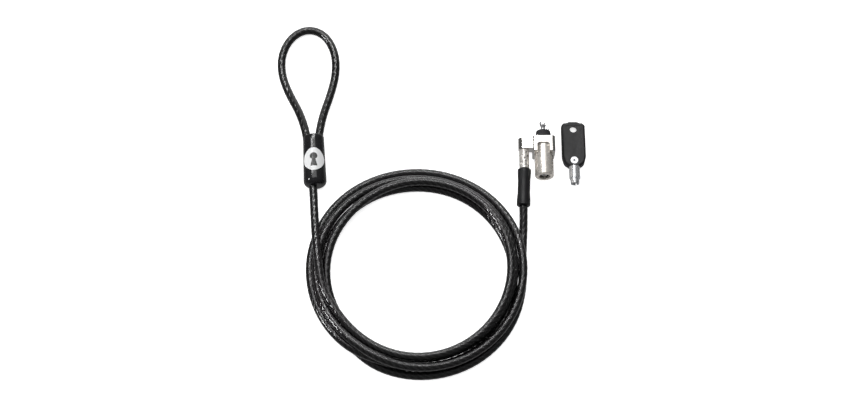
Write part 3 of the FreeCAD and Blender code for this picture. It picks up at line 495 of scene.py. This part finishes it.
finishes = {
    "collar": plain_metal("nickel_collar", (0.86, 0.84, 0.81), 0.16),
    "barrel": plain_metal("nickel_barrel", (0.94, 0.89, 0.82), 0.27, depth=0.001 * MM, metallic=0.72),
    "ferrule": dimpled_metal("nickel_ferrule", (0.80, 0.77, 0.73), 0.28),
    "steel": plain_metal("steel", (0.62, 0.62, 0.63), 0.25),
    "key_metal": plain_metal("key_steel", (0.80, 0.81, 0.83), 0.24, depth=0.001 * MM, metallic=0.8),
    "tbar": plain_metal("tbar_steel", (0.8, 0.8, 0.81), 0.24, metallic=0.85),
    # steel darkened to near black: painted shade of the keyway recess, put on the plug
    "plug_steel_painted_shade": plain_metal("plug_steel_painted_shade", (0.05, 0.048, 0.046), 0.2),
    "brass": plain_metal("brass", (0.78, 0.6, 0.3), 0.25),
    "spring": plain_metal("spring_steel", (0.6, 0.6, 0.62), 0.3),
    "crimp": plain_metal("crimp_aluminium", (0.7, 0.7, 0.7), 0.35),
    "rubber": moulded("pad_rubber", (0.02, 0.02, 0.022), 0.6, 0.25 * MM, 0.02 * MM),
    "bow": moulded("bow_plastic", (0.014, 0.014, 0.015), 0.42, 0.22 * MM, 0.02 * MM),
    "sleeve": moulded("sleeve_plastic", (0.012, 0.012, 0.013), 0.14, 0.5 * MM, 0.004 * MM, coat=0.4),
    "heat_shrink": moulded("heat_shrink", (0.010, 0.010, 0.011), 0.36, 0.9 * MM, 0.04 * MM),
    "badge": badge_enamel(BADGE_CENTRE, SLEEVE_YAW),
    "cable": cable_vinyl(),
}
NODE_FINISH = {
    "lock_barrel": "barrel", "snap_ring": "steel", "swivel_collar": "collar", "arm_cap": "collar",
    "swivel_stud": "steel", "cable_ferrule": "ferrule", "strain_relief": "heat_shrink",
    "cable_end": "cable", "cable_lead": "cable", "cable_loop": "cable", "cable_coil": "cable",
    "loop_sleeve": "sleeve", "loop_badge": "badge", "loop_crimp": "crimp",
    "plug": "plug_steel_painted_shade", "pin_housing": "brass", "driver_pins": "steel", "pin_springs": "spring",
    "housing_dowel": "steel", "nose_dowel": "steel", "spindle": "steel", "thrust_washer": "steel",
    "nose_block": "tbar", "t_bar": "tbar", "rubber_pad": "rubber",
    "key_shank": "key_metal", "key_bow": "bow", "key_rivet": "key_metal",
}
for name, item in nodes.items():
    finishes[NODE_FINISH.get(name, "steel")].put_on(item)

# the cord
route = [RELIEF_END]
for point in LEAD_ROUTE + settle_coil() + LOOP_ROUTE:
    route.append(tuple(part * MM for part in point))
line = spline_line("cord_line", route)
cord = rope_tube("cable_cord", line, CABLE_RADIUS)
finishes["cable"].put_on(cord)
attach(cord, "cable")
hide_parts("cable_lead", "cable_coil", "cable_loop", "cable_end")


def in_sleeve(x, y, z):
    """Puts a point of the sleeve, measured from its middle with y along it, into the shared frame."""
    cosine, sine = math.cos(SLEEVE_YAW), math.sin(SLEEVE_YAW)
    return (SLEEVE_CENTRE[0] + x * cosine - y * sine, SLEEVE_CENTRE[1] + x * sine + y * cosine,
            SLEEVE_CENTRE[2] + z)


def sleeve_profile():
    """Half outline of the sleeve: a domed lower end, a slight taper and a rounded upper rim."""
    half, wide, narrow, hole = 14.4, 6.1, 5.6, 2.6
    dome, rim = 3.1, 0.7
    straight = 2 * half - dome - rim
    outline = [(hole, -half)]
    for index in range(13):
        turn = math.radians(90 * index / 12)
        outline.append((wide - dome + dome * math.sin(turn), -half + dome * (1 - math.cos(turn))))
    for index in range(1, 8):
        share = index / 8
        outline.append((wide + (narrow - wide) * share, -half + dome + straight * share))
    for index in range(7):
        turn = math.radians(90 * index / 6)
        outline.append((narrow - rim + rim * math.cos(turn), half - rim + rim * math.sin(turn)))
    outline.append((hole, half))
    return [(radius * MM, along * MM) for radius, along in outline]


sleeve = lathe("sleeve_moulding", sleeve_profile(), in_sleeve, sides=96)
finishes["sleeve"].put_on(sleeve)
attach(sleeve, "cable")
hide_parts("loop_sleeve")

measured = sum((after - before).length for before, after in zip(line, line[1:]))
print(f"cord length {measured:.4f} m")

# the floor: white paper that also gives off light, so that it stays white, and isn't seen in reflections
bpy.ops.mesh.primitive_plane_add(size=6, location=(0, 0, 0))
floor = bpy.context.object
floor.name = "floor"
paper = Finish("floor_paper", (0.96, 0.96, 0.96), 0.9)
paper.shader.inputs["Emission Color"].default_value = (1, 1, 1, 1)
paper.shader.inputs["Emission Strength"].default_value = 0.75
paper.vary_roughness(paper.noise(0.05), 0.85, 0.95)
paper.put_on(floor)
floor.visible_glossy = False


# lights: each has a size, a place, a point it aims at and a power
def softbox(name, size, place, aim, power):
    data = bpy.data.lights.new(name, "AREA")
    data.shape = "RECTANGLE"
    data.size, data.size_y = size
    data.energy = power
    item = bpy.data.objects.new(name, data)
    item.location = place
    item.rotation_euler = (Vector(aim) - Vector(place)).to_track_quat("-Z", "Y").to_euler()
    bpy.context.scene.collection.objects.link(item)
    return item


MIDDLE = (-0.065, -0.03, 0)
softbox("overhead", (0.9, 0.6), (-0.2, 0.42, 1.1), MIDDLE, 2.6)
softbox("strip", (0.9, 0.03), (-0.25, 0.62, 1.05), MIDDLE, 1.8)
softbox("side_left", (0.35, 0.1), (-1.17, -0.16, 0.65), MIDDLE, 5)
fill = softbox("fill", (1.5, 1.5), (-0.1, 0.1, 1.5), MIDDLE, 14)
fill.visible_glossy = False

# world: grey that rises with height, white towards the back and a faint glow from below
SKY_GREYS = ((0.0, 0.06), (0.1, 0.06), (0.45, 0.1), (0.8, 0.14))
BACK_GREYS = ((0.55, 0.0), (0.95, 0.9))
GLOW_START, GLOW_STOP, GLOW = -0.2, -0.5, 0.22

world = bpy.data.worlds.new("studio")
bpy.context.scene.world = world
world.use_nodes = True
sky = world.node_tree
background = sky.nodes["Background"]
where = sky.nodes.new("ShaderNodeTexCoord")
parts = sky.nodes.new("ShaderNodeSeparateXYZ")
sky.links.new(where.outputs["Generated"], parts.inputs["Vector"])


def grey_ramp(source, greys):
    """A colour that follows a value through (position, grey) pairs."""
    ramp = sky.nodes.new("ShaderNodeValToRGB")
    elements = ramp.color_ramp.elements
    elements[0].position, elements[1].position = greys[0][0], greys[-1][0]
    for position, _ in greys[1:-1]:
        elements.new(position)
    for element, (_, level) in zip(elements, greys):
        element.color = (level, level, level, 1)
    sky.links.new(source, ramp.inputs["Fac"])
    return ramp.outputs["Color"]


def add_light(first, second):
    """The sum of two colours."""
    total = sky.nodes.new("ShaderNodeVectorMath")
    total.operation = "ADD"
    sky.links.new(first, total.inputs[0])
    sky.links.new(second, total.inputs[1])
    return total.outputs["Vector"]


below = sky.nodes.new("ShaderNodeMapRange")
below.inputs["From Min"].default_value = GLOW_START
below.inputs["From Max"].default_value = GLOW_STOP
below.inputs["To Max"].default_value = GLOW
sky.links.new(parts.outputs["Z"], below.inputs["Value"])
upper = add_light(grey_ramp(parts.outputs["Z"], SKY_GREYS), grey_ramp(parts.outputs["Y"], BACK_GREYS))
sky.links.new(add_light(upper, below.outputs["Result"]), background.inputs["Color"])
background.inputs["Strength"].default_value = 1.0

# camera: a long lens above the front of the table, tilted from straight down towards the back
FOCAL_LENGTH, SENSOR_WIDTH = 66.14, 36
CAMERA_PLACE = (-0.06563, -0.35615, 0.7708)
CAMERA_TILT = math.radians(23)
lens = bpy.data.cameras.new("camera")
lens.lens = FOCAL_LENGTH
lens.sensor_width = SENSOR_WIDTH
camera = bpy.data.objects.new("camera", lens)
camera.location = CAMERA_PLACE
camera.rotation_euler = (CAMERA_TILT, 0, 0)
bpy.context.scene.collection.objects.link(camera)
bpy.context.scene.camera = camera
bpy.context.scene.view_settings.view_transform = "Standard"
